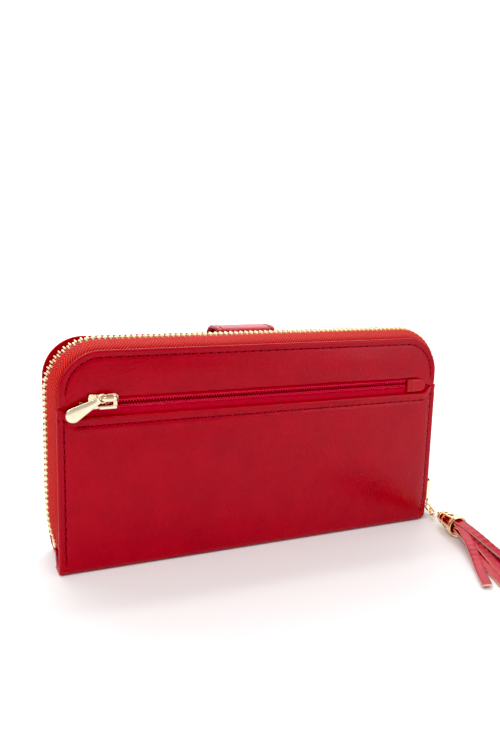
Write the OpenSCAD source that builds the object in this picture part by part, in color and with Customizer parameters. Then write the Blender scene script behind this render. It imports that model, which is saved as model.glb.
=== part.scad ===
// Long zip-around wallet with a zipped slip pocket, a card flap, a strap and a tassel.
// X runs along the width, -Y is the side with the slip pocket, +Z is up.
// The origin is the middle of the bottom face that the wallet stands on.

/* [Wallet body] */
// Width of the wallet without its zip
body_w = 190; // [170:1:200]
// Height of the leather panels
body_h = 97; // [90:1:110]
// Depth from the pocket panel's face to the flap's face
body_d = 32; // [32:1:36]
// Radius of the top corners
corner_r = 18; // [14:1:24]

/* [Layers] */
// Thickness of one turned leather panel
leather_t = 1.3; // [1.2:0.1:1.3]
// Thickness of a stiffening board
board_t = 1.2; // [0.8:0.1:1.2]
// Thickness of a lining cloth
lining_t = 0.5; // [0.4:0.1:0.5]
// Thickness of one card slot layer
slot_t = 0.7; // [0.5:0.1:0.7]

/* [Slip pocket] */
// Height of the pocket panel's top edge at mid width
pocket_h = 69; // [60:1:72]
// Height of the middle of the pocket's coil zip
coil_z = 74; // [74:1:76]

/* [Main zip] */
// Distance between two teeth on one side of the zip
tooth_pitch = 2.54; // [2.4:0.01:3]
// Width of one tooth along the zip
tooth_w = 0.85; // [0.6:0.05:0.9]

/* [Tassel] */
// Length of the filigree cap
cap_len = 16.4; // [12:0.2:18]
// Radius of the cap's open end
cap_r = 5.2; // [4.6:0.1:5.4]
// Length of a tassel strip outside the cap
strip_len = 58; // [40:1:70]

/* [Hidden] */
$fn = 48;

half_w = body_w / 2;
floor_gap = 0.6;                 // height of the standing panels above the spine
spine_t = 1.2;
panel_z = spine_t + floor_gap;   // underside of every standing panel
edge_in = 1;                     // how far a lining stays inside a leather edge
board_in = 2;                    // how far a board stays inside a leather edge
zip_tape_t = 0.5;

// Depths below are measured from the pocket panel's outer face.
pocket_t = 1.5;                  // turned pocket edge, two layers of leather
yoke_y = 0.5;
coil_y = 0.4;
tape_y = pocket_t;
back_tape_y = 2.1;               // main zip tape behind the pocket side
lining_y = 3.3;
board_y = 3.9;
inner_y = board_y + board_t;
chain_y = 9.8;                   // middle of the main zip's chain
wall_y = 15.1;
wall_board_y = wall_y + lining_t;
front_tape_y = 2 * chain_y - back_tape_y - zip_tape_t;
wall_leather_y = front_tape_y + zip_tape_t;
wall_face_y = wall_leather_y + leather_t;
flap_leather_y = body_d - leather_t;
flap_board_y = flap_leather_y - board_t;
flap_lining_y = flap_board_y - lining_t;
flap_slot_y = flap_lining_y - slot_t;

// The main zip stands out of the panels' outline by these distances.
teeth_out = 2.2;
teeth_thick = 2.6;
chain_out = teeth_out + teeth_thick / 2;
tooth_reach = 0.7;               // how far a tooth passes the chain's middle
tooth_len = 3.6;
tape_end_y = chain_y + tooth_reach - tooth_len;
tape_root = 5;                   // how far the tape runs in behind the panel
zip_low_z = 8;                   // lower end of the zip's tapes
teeth_low_z = 13.5;              // lowest tooth on a straight side
side_teeth = floor((body_h - corner_r - teeth_low_z) / tooth_pitch);
top_teeth = floor((body_w - 2 * corner_r) / tooth_pitch);
arc_step = tooth_pitch / (corner_r + chain_out) * 180 / PI;
arc_teeth = floor(90 / arc_step);

strap_w = 30.5;
strap_x = -2;                    // the strap's middle, a little left of the body's
strap_t = 1.4;
strap_lining_t = 1;
strap_near_y = wall_face_y;
strap_far_y = body_d + 2.2;      // inner face of the strap over the flap
strap_low_z = 62;
arch_z = body_h + 3.4;           // inner height of the strap's arch over the flap
arch_r = 5;
strap_pivot_z = 94.4;
snap_z = 74;

slider_x = -77;                  // middle of the pocket slider with the pocket closed
slider_l = 12;
puller_droop = 28;               // the puller hangs this many degrees below level
puller_leg_x = slider_x - 0.5;
crown_z = coil_z + 3;            // the crown stands over the slider's upper half

coin_w = 168;
coin_top_z = 74;
coin_back_y = 8.1;
coin_front_y = 11.1;
coin_panel_t = 0.6;
coin_slider_x = -70;

main_z = 8;                      // lower end of the main slider with the zip closed
main_l = 12;
wire = 1;
link_in_l = 6;
link_in_w = 2.1;
link_half = (link_in_l + wire) / 2;

// The chain is held at the crown's lower leg. Each piece below hangs in the one above,
// with wires that cross at the distance hold.
hold = wire + 0.16;
loop_in_l = 7.4;
loop_in_w = 2.6;
loop_r = (loop_in_w + wire) / 2;
loop_x = half_w + teeth_out + teeth_thick + 2.15;
loop_top_z = main_z + 3.55;
loop_arc_z = loop_top_z - loop_in_l - wire + loop_r;

function unit(v) = v / norm(v);
link1_dir = unit([-0.2, -0.93, -0.26]);
link2_dir = unit([-0.30, -0.95, -0.05]);
ring_dir = unit([-0.25, -0.92, 0.25]);
eye_dir = unit([-0.15, -0.97, 0.10]);
tassel_turn = -8.4;              // the tassel's turn about Z from straight ahead
ring_r = 3;
eye_r = 1.55;
eye_stem = 0.7;                  // from the eye's far end to the cap
link1_lean = unit([0, link1_dir.y, link1_dir.z]);
link1_mid = [loop_x, chain_y, loop_arc_z] + (loop_r - hold) * link1_lean + link_half * link1_dir;
link2_mid = link1_mid + (link_half - hold) * link1_dir + link_half * link2_dir;
ring_mid = link2_mid + (link_half - hold) * link2_dir + ring_r * ring_dir;
eye_mid = ring_mid + (ring_r - hold) * ring_dir + eye_r * eye_dir;
cap_z = cap_r + 0.05;
cap_mid = [eye_mid.x - 0.3, eye_mid.y - eye_r - eye_stem, cap_z];

function depth(n) = n - body_d / 2;
function from_side(p) = [p.x, depth(p.y), p.z];

// A plate from depth n0 to n1 whose outline is drawn in X and Z.
module plate(n0, n1) {
    translate([0, depth(n1), 0])
        rotate([90, 0, 0])
            linear_extrude(n1 - n0)
                children();
}

// The wallet's outline: square below, round at the top corners.
module outline(half, low, high, r) {
    translate([-half, low])
        square([2 * half, high - low - r]);
    translate([-half + r, low])
        square([2 * (half - r), high - low]);
    for (side = [-1, 1])
        translate([side * (half - r), high - r])
            circle(r);
}

// A full standing layer, drawn in from the leather's edge by inset.
module layer(n0, thick, inset) {
    plate(n0, n0 + thick)
        outline(half_w - inset, panel_z + inset / 2, body_h - inset, corner_r - inset);
}

module slab(half, n0, thick, low, high) {
    translate([-half, depth(n0), low])
        cube([2 * half, thick, high - low]);
}

// ---- spine and middle wall -------------------------------------------------

module spine_panel() {
    color("firebrick")
        slab(half_w, 0, body_d - leather_t + 0.1, 0, spine_t);
}

module spine_lining() {
    color("darkred")
        slab(half_w - 3, inner_y + 2, 19, spine_t, spine_t + lining_t);
}

module wall_lining() {
    color("darkred")
        layer(wall_y, lining_t, edge_in);
}

module wall_board() {
    color("tan")
        layer(wall_board_y, board_t, board_in);
}

module wall_leather() {
    color("firebrick")
        layer(wall_leather_y, leather_t, 0);
}

// Card slot layers stack up towards the flap, each lower than the last.
module wall_card_slot(tier) {
    color("indianred")
        slab(half_w - 4, wall_face_y + (tier - 1) * slot_t, slot_t, 4, 71 - 14 * (tier - 1));
}

module strap_base() {
    color("firebrick")
        translate([strap_x - strap_w / 2, depth(strap_near_y), 73])
            cube([strap_w, strap_t + strap_lining_t, strap_pivot_z - 0.4 - 73]);
}

// ---- main zip --------------------------------------------------------------

// The tape's section: distance out of the outline against depth.
// dir is 1 on the pocket side and -1 on the wall side.
module tape_section(dir) {
    flat = dir * (chain_y - back_tape_y);
    end = dir * (chain_y - tape_end_y);
    polygon([
        [-tape_root, chain_y - flat],
        [0.5, chain_y - flat],
        [teeth_out + 1.5, chain_y - end],
        [teeth_out + 1, chain_y - end],
        [0.2, chain_y - flat + dir * zip_tape_t],
        [-tape_root, chain_y - flat + dir * zip_tape_t]
    ]);
}

// Sweeps a section round the left side, the top and the right side.
module around(dir) {
    side_l = body_h - corner_r - zip_low_z;
    top_l = body_w - 2 * corner_r;
    for (side = [-1, 1]) {
        translate([side * half_w, -body_d / 2, zip_low_z])
            mirror([side < 0 ? 1 : 0, 0, 0])
                linear_extrude(side_l)
                    tape_section(dir);
        translate([side * (half_w - corner_r), -body_d / 2, body_h - corner_r])
            mirror([side < 0 ? 1 : 0, 0, 0])
                rotate([90, 0, 0])
                    mirror([0, 0, 1])
                        rotate_extrude(angle = 90)
                            translate([corner_r, 0])
                                tape_section(dir);
    }
    translate([-top_l / 2, -body_d / 2, body_h])
        rotate([90, 0, 90])
            linear_extrude(top_l)
                mirror([1, -1, 0])
                    tape_section(dir);
}

module zip_tape_front() {
    color("orangered")
        around(-1);
}

module zip_tape_back() {
    color("orangered")
        around(1);
}

// One tooth standing out of the outline along +Z, running along X.
module tooth(dir) {
    n = dir > 0 ? tape_end_y : chain_y - tooth_reach;
    translate([-tooth_w / 2, depth(n), teeth_out])
        cube([tooth_w, tooth_len, teeth_thick]);
}

// Half a pitch lies between the teeth of the two sides.
function phase(dir) = dir > 0 ? 0.25 : 0.75;

module side_tooth_row(side, dir) {
    for (i = [0 : side_teeth - 1])
        translate([side * half_w, 0, teeth_low_z + (i + phase(dir)) * tooth_pitch])
            rotate([0, side * 90, 0])
                tooth(dir);
}

module top_tooth_row(dir) {
    start = -top_teeth * tooth_pitch / 2;
    for (i = [0 : top_teeth - 1])
        translate([start + (i + phase(dir)) * tooth_pitch, 0, body_h])
            tooth(dir);
    for (side = [-1, 1])
        for (i = [0 : arc_teeth - 1])
            translate([side * (half_w - corner_r), 0, body_h - corner_r])
                rotate([0, side * (90 - (i + (side * dir > 0 ? 0.4 : 0.9)) * arc_step), 0])
                    translate([0, 0, corner_r])
                        tooth(dir);
}

module zip_bottom_stop() {
    color("khaki")
        translate([-half_w - teeth_out - teeth_thick, depth(chain_y - 1.7), 10])
            cube([teeth_thick, 3.4, 2.6]);
}

// A side gusset: a thin folded cloth inside each end of the compartment.
module gusset(side) {
    fold = [
        [0, 0], [-4, 4.6], [0, 9.2], [0.5, 9.2], [-3.4, 4.6], [0.5, 0]
    ];
    color("darkred")
        translate([side * 92, depth(inner_y + lining_t + 0.2), 3])
            mirror([side < 0 ? 1 : 0, 0, 0])
                linear_extrude(56)
                    polygon(fold * (wall_y - inner_y - lining_t - 0.4) / 9.2);
}

// ---- pocket side -----------------------------------------------------------

module pocket_panel() {
    ear_w = 7;
    ear_h = 4.5;
    half = half_w + 1;           // the pocket layer wraps 1 mm past the yoke
    color("firebrick")
        plate(0, pocket_t) {
            translate([-half, panel_z])
                square([2 * half, pocket_h - panel_z]);
            for (side = [-1, 1])
                mirror([side < 0 ? 1 : 0, 0])
                    translate([half - ear_w, pocket_h - 0.1])
                        difference() {
                            square([ear_w, ear_h + 0.1]);
                            translate([0, ear_h + 0.1])
                                circle(ear_h);
                        }
        }
}

module yoke_panel() {
    color("firebrick")
        plate(yoke_y, pocket_t)
            difference() {
                outline(half_w, panel_z, body_h, corner_r);
                translate([-half_w - 1, panel_z - 1])
                    square([body_w + 2, coil_z + 2.5 - panel_z + 1]);
            }
}

module pocket_lining() {
    color("darkred")
        slab(half_w - 9, lining_y, 0.4, 12, 88);
}

module back_board() {
    color("tan")
        layer(board_y, board_t, board_in);
}

module back_lining() {
    color("darkred")
        layer(inner_y, lining_t, edge_in);
}

module back_slip_pocket() {
    color("indianred")
        slab(half_w - 8, inner_y + lining_t, slot_t, 4, 58);
}

module pocket_tape_lower() {
    color("crimson")
        slab(half_w - 3, tape_y, zip_tape_t, coil_z - 12, coil_z - 0.9);
}

module pocket_tape_upper() {
    color("crimson")
        slab(half_w - 3, tape_y, zip_tape_t, coil_z + 0.9, coil_z + 13);
}

// Each half of the closed coil, from the slider to the end tab.
module pocket_coil(side) {
    start = slider_x - 1.5;
    low = side > 0 ? coil_z + 0.05 : coil_z - 1.8;
    color("crimson")
        translate([start, depth(coil_y), low])
            cube([77.5 - start, tape_y - coil_y, 1.75]);
}

module pocket_end_tab() {
    color("firebrick")
        translate([78, depth(0.2), pocket_h + 0.4])
            cube([11, tape_y - 0.2, coil_z + 2.3 - pocket_h - 0.4]);
}

module pocket_end_stop() {
    color("khaki")
        translate([slider_x - 9.5, depth(coil_y), coil_z - 1.5])
            cube([1.6, tape_y - coil_y, 3]);
}

// Slider of the pocket zip: two plates, the post between them and the crown.
module pocket_slider() {
    post_l = 2.2;
    post_w = 1.4;
    front_low_z = coil_z - 1.8;
    front_w = 6.6;
    rear_w = 7.2;
    leg_r = 0.8;
    crown_y = -4.3;
    leg_span = 6;
    color("palegoldenrod") {
        translate([slider_x - slider_l / 2, depth(-0.9), front_low_z])
            cube([slider_l, 1.1, front_w]);
        translate([slider_x - slider_l / 2, depth(2.2), coil_z - rear_w / 2])
            cube([slider_l, 0.8, rear_w]);
        translate([slider_x - slider_l / 2 + 0.6, depth(0), coil_z - post_w / 2])
            cube([post_l, 2.4, post_w]);
        for (x = [puller_leg_x, puller_leg_x + leg_span])
            translate([x, depth(-0.5), crown_z])
                rotate([90, 0, 0])
                    cylinder(r = leg_r, h = -crown_y - 0.5);
        translate([puller_leg_x - leg_r, depth(crown_y), crown_z - leg_r])
            cube([leg_span + 2 * leg_r, 1, 2 * leg_r]);
    }
}

// Puller: an eye round the crown's leg, and a blade that widens to a round end.
module pocket_puller() {
    eye_r = 2.3;
    hole_r = 1.3;
    neck_w = 2.4;
    end_r = 3.2;
    reach = 13.6;
    color("palegoldenrod")
        translate([puller_leg_x, depth(-1.3), crown_z])
            rotate([0, 180 - puller_droop, 0])
                rotate([90, 0, 0])
                    linear_extrude(1.2)
                        difference() {
                            union() {
                                circle(eye_r);
                                polygon([
                                    [0, -neck_w / 2], [reach, -end_r],
                                    [reach, end_r], [0, neck_w / 2]
                                ]);
                                translate([reach, 0])
                                    circle(end_r);
                            }
                            circle(hole_r);
                        }
}

// ---- coin pocket -----------------------------------------------------------

module coin_panel_back() {
    color("darkred")
        slab(coin_w / 2, coin_back_y, coin_panel_t, 2.4, coin_top_z);
}

module coin_panel_front() {
    color("darkred")
        slab(coin_w / 2, coin_front_y, coin_panel_t, 2.4, coin_top_z);
}

module coin_zip_tape() {
    color("crimson")
        slab(coin_w / 2, coin_back_y, coin_front_y + coin_panel_t - coin_back_y,
             coin_top_z, coin_top_z + 1.4);
}

// The coin slider rides on the tape, with a staple across it for its puller.
module coin_slider() {
    top = coin_top_z + 1.6;
    mid_y = (coin_back_y + coin_front_y + coin_panel_t) / 2;
    color("palegoldenrod") {
        translate([coin_slider_x - 4.5, depth(mid_y - 2.8), top])
            cube([9, 5.6, 0.9]);
        for (side = [-1, 1])
            translate([coin_slider_x - 0.8, depth(mid_y + side * 2.2) - 0.5, top + 0.5])
                cube([1.6, 1, 2.6]);
        translate([coin_slider_x, depth(mid_y - 2.7), top + 2.5])
            rotate([-90, 0, 0])
                cylinder(r = 0.6, h = 5.4);
    }
}

module coin_puller() {
    mid_y = (coin_back_y + coin_front_y + coin_panel_t) / 2;
    color("palegoldenrod")
        translate([coin_slider_x, depth(mid_y + 1.2), coin_top_z + 4.1])
            rotate([90, 0, 0])
                linear_extrude(2.4)
                    difference() {
                        union() {
                            circle(1.2);
                            translate([0, -0.5])
                                square([17, 1]);
                        }
                        circle(0.75);
                    }
}

// ---- main slider and its chain ---------------------------------------------

// The slider's width runs along Y and its length along Z, on the right side.
module main_slider() {
    plate_w = 9.2;
    inner_x = half_w + 0.2;
    outer_x = half_w + teeth_out + teeth_thick + 0.3;
    plate_t = 1.2;
    lip = 1;
    crown_h = 2.3;
    bar_t = 1;
    bar_w = 1.2;
    leg_l = 1.5;
    low_y = chain_y - plate_w / 2;
    color("palegoldenrod") {
        translate([outer_x, depth(low_y), main_z])
            cube([plate_t, plate_w, main_l]);
        translate([inner_x, depth(low_y), main_z])
            cube([plate_t, plate_w, main_l]);
        translate([inner_x + 1, depth(chain_y - 0.8), main_z + 0.6])
            cube([outer_x - inner_x - 0.8, 1.6, 3.4]);
        for (n = [low_y, low_y + plate_w - lip])
            translate([outer_x - 1.1, depth(n), main_z + 1])
                cube([1.2, lip, main_l - 2]);
        for (z = [main_z + 1.4, main_z + main_l - 1.5 - leg_l])
            translate([outer_x + plate_t - 0.1, depth(chain_y - bar_w / 2), z])
                cube([crown_h + 0.1, bar_w, leg_l]);
        translate([outer_x + plate_t + crown_h - bar_t, depth(chain_y - bar_w / 2), main_z + 1.4])
            cube([bar_t, bar_w, main_l - 2.9]);
    }
}

// An oval link in the XY plane, long along Y, its middle at the origin.
module oval(in_w, in_l) {
    r = (in_w + wire) / 2;
    run = (in_l - in_w) / 2;
    for (side = [-1, 1]) {
        translate([0, side * run, 0])
            rotate([0, 0, side > 0 ? 0 : 180])
                rotate_extrude(angle = 180)
                    translate([r, 0])
                        circle(wire / 2);
        translate([side * r, -run, 0])
            rotate([-90, 0, 0])
                cylinder(d = wire, h = 2 * run);
    }
}

// Turns the Y axis into dir, with the X axis kept level, then spins about dir.
module along(dir, spin) {
    flat = norm([dir.x, dir.y]);
    rotate([0, 0, atan2(dir.y, dir.x) - 90])
        rotate([atan2(dir.z, flat), 0, 0])
            rotate([0, spin, 0])
                children();
}

// The loop hangs from the crown's lower leg, flat against the slider.
module pull_loop() {
    color("gold")
        translate([loop_x, depth(chain_y), loop_top_z - (loop_in_l + wire) / 2])
            rotate([90, 0, 90])
                oval(loop_in_w, loop_in_l);
}

module chain_link_1() {
    color("gold")
        translate(from_side(link1_mid))
            along(link1_dir, 0)
                oval(link_in_w, link_in_l);
}

module chain_link_2() {
    color("gold")
        translate(from_side(link2_mid))
            along(link2_dir, 90)
                oval(link_in_w, link_in_l);
}

module jump_ring() {
    color("gold")
        translate(from_side(ring_mid))
            along(ring_dir, 0)
                rotate_extrude()
                    translate([ring_r, 0])
                        circle(wire / 2);
}

// ---- tassel ----------------------------------------------------------------

// Puts the tassel's own +Y along the way it lies on the floor.
module tassel_place() {
    translate(from_side(cap_mid))
        rotate([0, 0, 180 + tassel_turn])
            children();
}

module tassel_eye() {
    color("gold") {
        translate(from_side(eye_mid))
            rotate([0, 0, tassel_turn])
                rotate([0, 90, 0])
                    rotate_extrude()
                        translate([eye_r, 0])
                            circle(wire / 2);
        tassel_place()
            translate([0, -eye_stem, -0.4])
                rotate([-90, 0, 0])
                    cylinder(r = 0.8, h = eye_stem);
    }
}

// The cap is a thin bell: its radius grows from the eye to the open end.
module tassel_cap() {
    top_r = 3;
    wall = 0.6;
    color("gold")
        tassel_place()
            rotate([-90, 0, 0])
                difference() {
                    union() {
                        cylinder(r = top_r, h = 2);
                        translate([0, 0, 2])
                            cylinder(r1 = top_r, r2 = cap_r - 0.3, h = cap_len - 3.5);
                        translate([0, 0, cap_len - 1.5])
                            cylinder(r = cap_r, h = 1.5);
                    }
                    translate([0, 0, 1])
                        cylinder(r = top_r - wall, h = 1.1);
                    translate([0, 0, 2])
                        cylinder(r1 = top_r - wall, r2 = cap_r - 0.3 - wall, h = cap_len - 3.5);
                    translate([0, 0, cap_len - 1.6])
                        cylinder(r = cap_r - 0.3 - wall, h = 2);
                }
}

// The wound heads of the strips fill the cap.
module tassel_core() {
    color("crimson")
        tassel_place()
            rotate([-90, 0, 0])
                translate([0, 0, 2.2])
                    cylinder(r1 = 2.2, r2 = cap_r - 1.1, h = cap_len - 5.2);
}

// Strips leave the core one above another and fan out, sinking to the floor.
module tassel_strips() {
    strip_w = 3.8;
    strip_t = 0.8;
    step = 1;
    low = -3.3;
    fan = [-26, -4, 16, -17, 6, 22, -10];
    color("crimson")
        tassel_place()
            for (i = [0 : len(fan) - 1])
                translate([0, cap_len - 1.6, low + step * i])
                    rotate([-atan((cap_z + low - 0.1 + 0.2 * i) / strip_len), 0, fan[i]])
                        translate([-strip_w / 2, 0.2, 0])
                            cube([strip_w, strip_len, strip_t]);
}

// ---- flap ------------------------------------------------------------------

module flap_panel() {
    color("firebrick")
        plate(flap_leather_y, body_d)
            outline(half_w + 1.5, panel_z, body_h + 2, corner_r);
}

module flap_board() {
    color("tan")
        layer(flap_board_y, board_t, board_in);
}

module flap_lining() {
    color("darkred")
        layer(flap_lining_y, lining_t, edge_in);
}

module flap_card_slot(tier) {
    color("indianred")
        slab(half_w - 4, flap_slot_y - (tier - 1) * slot_t, slot_t, 4, 66 - 16 * (tier - 1));
}

// Clear window over the lower slots at one end of the flap.
module flap_window() {
    color("gainsboro")
        translate([22, depth(flap_slot_y - 2 * slot_t + 0.3), 6])
            cube([64, 0.4, 40]);
}

// Press stud on the flap's outer face.
module snap_stud() {
    color("gold")
        translate([strap_x, depth(body_d), snap_z])
            rotate([-90, 0, 0]) {
                cylinder(r = 4.5, h = 0.5);
                cylinder(r = 1.7, h = 1.9);
            }
}

// ---- strap -----------------------------------------------------------------

// One layer of the strap from its pivot over the arch and down the flap.
// in is the layer's distance from the strap's inner face.
module strap_layer(in, thick) {
    near = strap_near_y + strap_t + strap_lining_t - in;
    far = strap_far_y + in;
    top = arch_z + in;
    r = arch_r + in;
    translate([strap_x - strap_w / 2, -body_d / 2, 0])
        rotate([90, 0, 90])
            linear_extrude(strap_w) {
                translate([near - thick, strap_pivot_z])
                    square([thick, top - r - strap_pivot_z]);
                translate([far, strap_low_z])
                    square([thick, top - r - strap_low_z]);
                translate([near + r, top])
                    square([far - near - 2 * r, thick]);
                for (corner = [[near + r, 1], [far - r, -1]])
                    translate([corner[0], top - r])
                        intersection() {
                            difference() {
                                circle(r + thick);
                                circle(r);
                            }
                            translate([corner[1] > 0 ? -r - thick : 0, 0])
                                square([r + thick, r + thick]);
                        }
            }
}

// A round hole through the strap for the press stud's cap.
module snap_hole(r) {
    translate([strap_x, depth(strap_far_y) - 1, snap_z])
        rotate([-90, 0, 0])
            cylinder(r = r, h = strap_t + strap_lining_t + 2);
}

module strap() {
    color("firebrick")
        difference() {
            strap_layer(strap_lining_t, strap_t);
            snap_hole(1.6);
        }
}

module strap_lining() {
    color("darkred")
        difference() {
            strap_layer(0, strap_lining_t);
            snap_hole(1.6);
        }
}

module snap_cap() {
    color("gold")
        translate([strap_x, depth(strap_far_y), snap_z])
            rotate([-90, 0, 0]) {
                translate([0, 0, 0.2])
                    cylinder(r = 1.6, h = strap_t + strap_lining_t);
                translate([0, 0, strap_t + strap_lining_t])
                    cylinder(r = 6, h = 1.2);
            }
}

module snap_socket() {
    color("gold")
        translate([strap_x, depth(strap_far_y) - 1.5, snap_z])
            rotate([-90, 0, 0])
                difference() {
                    cylinder(r = 5, h = 1.5);
                    translate([0, 0, -0.1])
                        cylinder(r = 1.85, h = 1.5);
                }
}

spine_panel();
spine_lining();
wall_lining();
wall_board();
wall_leather();
wall_card_slot(1);  // wall_card_slot_1
wall_card_slot(2);  // wall_card_slot_2
wall_card_slot(3);  // wall_card_slot_3
strap_base();
zip_tape_front();
color("khaki") top_tooth_row(-1);  // zip_teeth_front
color("khaki") side_tooth_row(-1, -1);  // zip_teeth_front_left
color("khaki") side_tooth_row(1, -1);  // zip_teeth_front_right
zip_bottom_stop();
gusset(-1);  // gusset_left
gusset(1);  // gusset_right
pocket_panel();
yoke_panel();
pocket_lining();
back_board();
back_lining();
back_slip_pocket();
pocket_tape_lower();
pocket_tape_upper();
pocket_coil(-1);  // pocket_coil_lower
pocket_coil(1);  // pocket_coil_upper
pocket_end_tab();
pocket_end_stop();
zip_tape_back();
color("khaki") top_tooth_row(1);  // zip_teeth_back
color("khaki") side_tooth_row(-1, 1);  // zip_teeth_back_left
color("khaki") side_tooth_row(1, 1);  // zip_teeth_back_right
pocket_slider();
pocket_puller();
coin_panel_back();
coin_panel_front();
coin_zip_tape();
coin_slider();
coin_puller();
main_slider();
pull_loop();
chain_link_1();
chain_link_2();
jump_ring();
tassel_eye();
tassel_cap();
tassel_core();
tassel_strips();
flap_panel();
flap_board();
flap_lining();
flap_card_slot(1);  // flap_card_slot_1
flap_card_slot(2);  // flap_card_slot_2
flap_window();
snap_stud();
strap();
strap_lining();
snap_cap();
snap_socket();
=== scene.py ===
"""The looks of a long zip-around wallet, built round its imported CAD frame.

Sizes are in millimetres in the row frame, and turn into metres when a mesh is made.
"""

import math

import bmesh
import bpy
import numpy as np
from mathutils import Matrix, Vector


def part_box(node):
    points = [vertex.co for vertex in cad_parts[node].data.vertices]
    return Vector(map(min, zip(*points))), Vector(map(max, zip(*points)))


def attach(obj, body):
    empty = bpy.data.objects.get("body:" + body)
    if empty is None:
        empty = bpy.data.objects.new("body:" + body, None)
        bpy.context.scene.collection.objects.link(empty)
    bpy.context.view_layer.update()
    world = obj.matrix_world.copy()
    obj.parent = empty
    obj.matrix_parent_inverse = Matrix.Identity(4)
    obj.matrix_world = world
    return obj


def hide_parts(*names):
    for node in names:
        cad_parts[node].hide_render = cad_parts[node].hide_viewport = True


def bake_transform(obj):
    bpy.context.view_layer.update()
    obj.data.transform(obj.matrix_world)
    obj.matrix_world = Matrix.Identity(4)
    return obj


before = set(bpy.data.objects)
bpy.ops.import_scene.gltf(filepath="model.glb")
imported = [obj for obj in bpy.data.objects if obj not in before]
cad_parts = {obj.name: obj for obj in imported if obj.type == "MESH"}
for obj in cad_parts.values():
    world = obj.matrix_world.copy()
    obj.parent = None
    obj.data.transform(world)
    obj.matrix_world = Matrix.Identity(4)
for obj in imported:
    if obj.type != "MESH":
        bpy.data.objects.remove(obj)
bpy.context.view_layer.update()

MM = 0.001


def corners(node):
    """Lowest and highest corner of a CAD node, in millimetres."""
    low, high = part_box(node)
    return np.array(low) / MM, np.array(high) / MM


# ---- driving sizes -------------------------------------------------------------

POCKET_LOW, POCKET_HIGH = corners("pocket_panel")
WALL_LOW, WALL_HIGH = corners("wall_leather")
SIDE_TEETH_LOW, SIDE_TEETH_HIGH = corners("zip_teeth_front_left")
SLIDER_LOW, SLIDER_HIGH = corners("pocket_slider")
FLAP_HALF, FAR_Y, FLAP_TOP = corners("flap_panel")[1]

NEAR_Y = POCKET_LOW[1]                  # outer face of the slip pocket
POCKET_HALF = POCKET_HIGH[0]
HALF_W = WALL_HIGH[0]
TOP_Z = WALL_HIGH[2]
CORNER_R = 18.0
CHAIN_Y = (corners("zip_tape_front")[1][1] + corners("zip_tape_back")[0][1]) / 2
COIL_Z = (corners("pocket_coil_lower")[1][2] + corners("pocket_coil_upper")[0][2]) / 2
POCKET_TOP = 69.0                       # mouth of the slip pocket at mid width
YOKE_Z = corners("yoke_panel")[0][2] - 0.3   # lower edge of the yoke at mid width
FOLD_R = 2.2                            # the bottom fold's outer radius
UNDER = 7.0                             # how far a cover runs in under the wallet
STITCH_IN = 3.1                         # from a panel's edge to its stitches
TOOTH_PITCH = 2.54
LEFT_TURN = 30.0                        # below this the left end turns in
FAR_TURN, TURN_IN = 3.0, 7.0            # how far the flap and the inner layers turn in there

# ---- numbers -------------------------------------------------------------------

LATTICE = np.random.default_rng(11).uniform(-1, 1, (64, 64))


def ease(t):
    """0 to 1 with flat ends, outside that range too."""
    t = np.clip(t, 0, 1)
    return t * t * (3 - 2 * t)


def soft_noise(a, b, size, shift=0.0):
    """Smooth noise from -1 to 1 whose bumps are about size wide."""
    a, b = a / size + shift, b / size + 1.7 * shift
    i, j = np.floor(a).astype(int), np.floor(b).astype(int)
    f, g = ease(a - i), ease(b - j)

    def at(p, q):
        return LATTICE[p % 64, q % 64]

    low = at(i, j) * (1 - f) + at(i + 1, j) * f
    high = at(i, j + 1) * (1 - f) + at(i + 1, j + 1) * f
    return low * (1 - g) + high * g


def ridge(gap, at, wide, high):
    """A soft ridge along the line where gap is at, or a groove if high is negative."""
    return high * np.exp(-((gap - at) / wide) ** 2)


def unit(vectors):
    return vectors / np.linalg.norm(vectors, axis=-1, keepdims=True)


def lengths(path):
    """How far each point of a path is along it."""
    return np.concatenate([[0], np.cumsum(np.linalg.norm(np.diff(path, axis=0), axis=1))])


def circle(count):
    """Angles spaced evenly round a circle."""
    return np.arange(count) * 2 * math.pi / count


def points(*parts):
    """Points from their coordinates, each a number or an array."""
    return np.stack(np.broadcast_arrays(*parts), -1)


def arc(x, y, r, start, end, count=12):
    """Points on an arc, from start to end in degrees."""
    t = np.radians(np.linspace(start, end, count))
    return points(x + r * np.cos(t), y + r * np.sin(t))


# ---- mesh tools ----------------------------------------------------------------


def write(mesh, label, values):
    """Stores a vector at each point of a mesh, for its material to read."""
    spots = mesh.attributes.new(label, "FLOAT_VECTOR", "POINT")
    spots.data.foreach_set("vector", np.ravel(values))


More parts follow.
